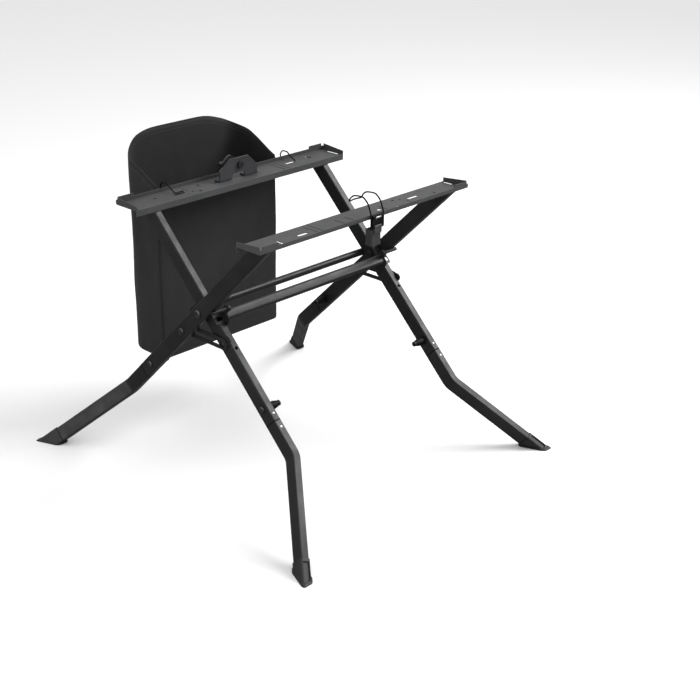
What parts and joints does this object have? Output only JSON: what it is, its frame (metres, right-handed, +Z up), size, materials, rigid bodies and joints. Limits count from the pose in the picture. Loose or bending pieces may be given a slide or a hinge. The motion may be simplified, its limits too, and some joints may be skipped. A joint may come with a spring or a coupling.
{
  "type": "folding table saw stand",
  "caption": "Folding X-frame tool stand of painted steel tube with two pressed top rails, splayed legs, slotted fold links, a wire bail latch and a hanging dust bag.",
  "frame": {"origin": "centre of the footprint on the floor, under the middle of the pivot axis", "axes": "+X along the rails and the pivot axis, +Y to the rear where the bag hangs, +Z up"},
  "size_m": [0.8228, 0.8418, 0.68],
  "materials": {
    "tube_paint": "satin powder coat",
    "rail_paint": "satin powder coat",
    "zinc": "zinc plated",
    "dark_steel": "semi matt black",
    "black_plastic": "moulded, fine grain",
    "rubber": "moulded",
    "bag_cloth": "coated woven cloth"
  },
  "bodies": {
    "outer_frame": {"rail_front": "rail_paint", "outer_leg_left": "tube_paint", "outer_leg_right": "tube_paint", "rear_cross_tube": "tube_paint", "rear_tube_bracket_left": "dark_steel", "rear_tube_bracket_right": "dark_steel", "pivot_bolt_left": "zinc", "pivot_bolt_right": "zinc", "pivot_nut_left": "dark_steel", "pivot_nut_right": "dark_steel", "pivot_spacer_left": "dark_steel", "pivot_spacer_right": "dark_steel", "link_rivet_left": "zinc", "link_rivet_right": "zinc", "knee_bolt_rear_left": "zinc", "knee_bolt_rear_right": "zinc", "latch_clip": "black_plastic"},
    "inner_frame": {"rail_rear": "rail_paint", "inner_leg_left": "tube_paint", "inner_leg_right": "tube_paint", "front_cross_tube": "tube_paint", "front_tube_bracket_left": "dark_steel", "front_tube_bracket_right": "dark_steel", "stop_bolt_left": "dark_steel", "stop_bolt_right": "dark_steel", "link_pin_left": "zinc", "link_pin_right": "zinc", "knee_bolt_front_left": "zinc", "knee_bolt_front_right": "zinc", "saw_bracket": "rail_paint", "hub_bolt": "zinc", "bag_hook_left": "dark_steel", "bag_hook_right": "dark_steel", "bag": "bag_cloth"},
    "link_left": {"link_left": "dark_steel"},
    "link_right": {"link_right": "dark_steel"},
    "catch_left": {"catch_left": "dark_steel"},
    "catch_right": {"catch_right": "dark_steel"},
    "leg_rear_left": {"lower_leg_rear_left": "tube_paint", "knee_insert_rear_left": "dark_steel", "foot_rear_left": "rubber"},
    "leg_rear_right": {"lower_leg_rear_right": "tube_paint", "knee_insert_rear_right": "dark_steel", "foot_rear_right": "rubber"},
    "leg_front_left": {"lower_leg_front_left": "tube_paint", "knee_insert_front_left": "dark_steel", "foot_front_left": "rubber"},
    "leg_front_right": {"lower_leg_front_right": "tube_paint", "knee_insert_front_right": "dark_steel", "foot_front_right": "rubber"},
    "knob_rear_left": {"knee_knob_rear_left": "black_plastic"},
    "knob_rear_right": {"knee_knob_rear_right": "black_plastic"},
    "knob_front_left": {"knee_knob_front_left": "black_plastic"},
    "knob_front_right": {"knee_knob_front_right": "black_plastic"},
    "latch_lever": {"latch_lever": "black_plastic"},
    "latch_bail": {"latch_bail": "dark_steel"},
    "clamp_lever": {"clamp_lever": "black_plastic"}
  },
  "joints": [
    {"name": "fold", "type": "hinge", "parent": "outer_frame", "child": "inner_frame", "pos_m": [0, 0, 0.392], "axis": [1, 0, 0], "range_deg": [0, 70]},
    {"name": "link_left_turn", "type": "hinge", "parent": "outer_frame", "child": "link_left", "pos_m": [-0.2554, 0.05374, 0.33826], "axis": [1, 0, 0], "range_deg": [0, 35]},
    {"name": "link_right_turn", "type": "hinge", "parent": "outer_frame", "child": "link_right", "pos_m": [0.2554, 0.05374, 0.33826], "axis": [1, 0, 0], "range_deg": [0, 35]},
    {"name": "catch_left_lift", "type": "hinge", "parent": "inner_frame", "child": "catch_left", "pos_m": [-0.2535, -0.06329, 0.34286], "axis": [1, 0, 0], "range_deg": [0, 18], "stiffness_Nm_per_rad": 0.05, "springref_deg": -17.19},
    {"name": "catch_right_lift", "type": "hinge", "parent": "inner_frame", "child": "catch_right", "pos_m": [0.2535, -0.06329, 0.34286], "axis": [1, 0, 0], "range_deg": [0, 18], "stiffness_Nm_per_rad": 0.05, "springref_deg": -17.19},
    {"name": "leg_rear_left_slide", "type": "slide", "parent": "outer_frame", "child": "leg_rear_left", "axis": [0, 0.7071, -0.7071], "range_m": [0, 0.06]},
    {"name": "leg_rear_right_slide", "type": "slide", "parent": "outer_frame", "child": "leg_rear_right", "axis": [0, 0.7071, -0.7071], "range_m": [0, 0.06]},
    {"name": "leg_front_left_slide", "type": "slide", "parent": "inner_frame", "child": "leg_front_left", "axis": [0, -0.7071, -0.7071], "range_m": [0, 0.06]},
    {"name": "leg_front_right_slide", "type": "slide", "parent": "inner_frame", "child": "leg_front_right", "axis": [0, -0.7071, -0.7071], "range_m": [0, 0.06]},
    {"name": "knob_rear_left_pull", "type": "slide", "parent": "outer_frame", "child": "knob_rear_left", "axis": [1, 0, 0], "range_m": [0, 0.007], "stiffness_N_per_m": 400, "springref_m": -0.008},
    {"name": "knob_rear_right_pull", "type": "slide", "parent": "outer_frame", "child": "knob_rear_right", "axis": [-1, 0, 0], "range_m": [0, 0.007], "stiffness_N_per_m": 400, "springref_m": -0.008},
    {"name": "knob_front_left_pull", "type": "slide", "parent": "inner_frame", "child": "knob_front_left", "axis": [1, 0, 0], "range_m": [0, 0.007], "stiffness_N_per_m": 400, "springref_m": -0.008},
    {"name": "knob_front_right_pull", "type": "slide", "parent": "inner_frame", "child": "knob_front_right", "axis": [-1, 0, 0], "range_m": [0, 0.007], "stiffness_N_per_m": 400, "springref_m": -0.008},
    {"name": "latch_lever_turn", "type": "hinge", "parent": "outer_frame", "child": "latch_lever", "pos_m": [0.01, -0.2208, 0.564], "axis": [1, 0, 0], "range_deg": [-90, 0]},
    {"name": "latch_bail_turn", "type": "hinge", "parent": "outer_frame", "child": "latch_bail", "pos_m": [0.01, -0.2208, 0.582], "axis": [1, 0, 0], "range_deg": [-15, 120]},
    {"name": "clamp_lever_turn", "type": "hinge", "parent": "inner_frame", "child": "clamp_lever", "pos_m": [0.003, 0.181, 0.6103], "axis": [0, 1, 0], "range_deg": [-25, 60]}
  ],
  "couplings": [
    {"joint": "link_left_turn", "follows": "fold", "ratio": 0.5},
    {"joint": "link_right_turn", "follows": "fold", "ratio": 0.5}
  ]
}
